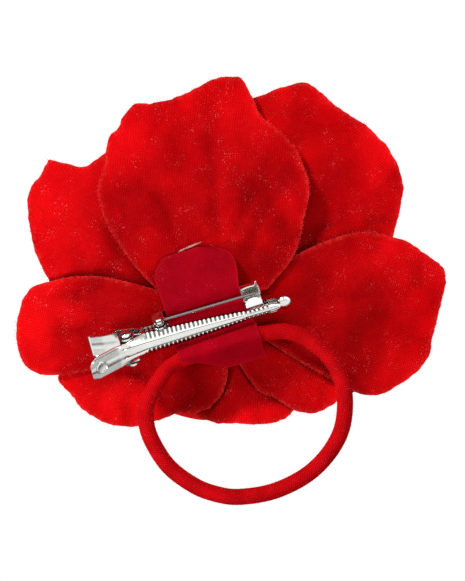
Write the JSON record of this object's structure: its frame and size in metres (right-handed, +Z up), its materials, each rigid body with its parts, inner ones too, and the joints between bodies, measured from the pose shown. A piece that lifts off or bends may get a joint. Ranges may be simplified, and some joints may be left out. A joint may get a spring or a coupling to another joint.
{
  "type": "flower hair clip",
  "caption": "Red fabric rose on a toothed hair clip, with a bar pin and a hair elastic under one ribbon tab, for wear three ways.",
  "frame": {"origin": "middle of the line along which the clip's two jaws grip the hair", "axes": "+Z up and +X right as seen from the clip's side; the rose opens towards +Y and the clip's side faces -Y"},
  "size_m": [0.1014, 0.0447, 0.101],
  "materials": {
    "petal_cloth": "woven polyester satin with a fine twill and frayed cut edges",
    "ribbon": "fine satin ribbon",
    "elastic_knit": "ribbed knit cover with a little fuzz",
    "plated_metal": "bright nickel plate",
    "spring_steel": "drawn wire",
    "hot_glue": "glossy, slightly cloudy",
    "stem_plastic": "moulded, matt"
  },
  "bodies": {
    "root": {"lower_jaw": "plated_metal", "jaw_pivot": "plated_metal", "jaw_spring": "spring_steel", "pin_bar": "plated_metal", "pin_rivet": "plated_metal", "pin_catch": "plated_metal", "ribbon_tab": "ribbon", "glue_pad": "hot_glue", "glue_bead": "hot_glue", "elastic_held": "elastic_knit", "rose_core": "stem_plastic", "outer_petal_1": "petal_cloth", "outer_petal_2": "petal_cloth", "outer_petal_3": "petal_cloth", "outer_petal_4": "petal_cloth", "outer_petal_5": "petal_cloth", "second_petal_1": "petal_cloth", "second_petal_2": "petal_cloth", "second_petal_3": "petal_cloth", "second_petal_4": "petal_cloth", "second_petal_5": "petal_cloth", "third_petal_1": "petal_cloth", "third_petal_2": "petal_cloth", "third_petal_3": "petal_cloth", "third_petal_4": "petal_cloth", "third_petal_5": "petal_cloth", "inner_petal_1": "petal_cloth", "inner_petal_2": "petal_cloth", "inner_petal_3": "petal_cloth", "inner_petal_4": "petal_cloth", "heart_petal_1": "petal_cloth", "heart_petal_2": "petal_cloth", "heart_petal_3": "petal_cloth", "bud_roll": "petal_cloth"},
    "jaw": {"upper_jaw": "plated_metal"},
    "pin": {"pin_wire": "plated_metal"},
    "elastic": {"elastic_loop": "elastic_knit"}
  },
  "joints": [
    {"name": "jaw_hinge", "type": "hinge", "parent": "root", "child": "jaw", "pos_m": [-0.0213, -0.00105, -0.00673], "axis": [0.2182, 0.5295, -0.8197], "range_deg": [0, 30], "stiffness_Nm_per_rad": 0.05, "springref_deg": -28.65, "deforming": ["jaw_spring"]},
    {"name": "pin_hinge", "type": "hinge", "parent": "root", "child": "pin", "pos_m": [-0.01424, -0.00306, -0.00074], "axis": [0.255, 0.5299, -0.8088], "range_deg": [0, 75]},
    {"name": "elastic_swing", "type": "hinge", "parent": "root", "child": "elastic", "pos_m": [0.00039, 0.0017, -0.00622], "axis": [-0.9537, 0, -0.3007], "range_deg": [0, 80]}
  ]
}
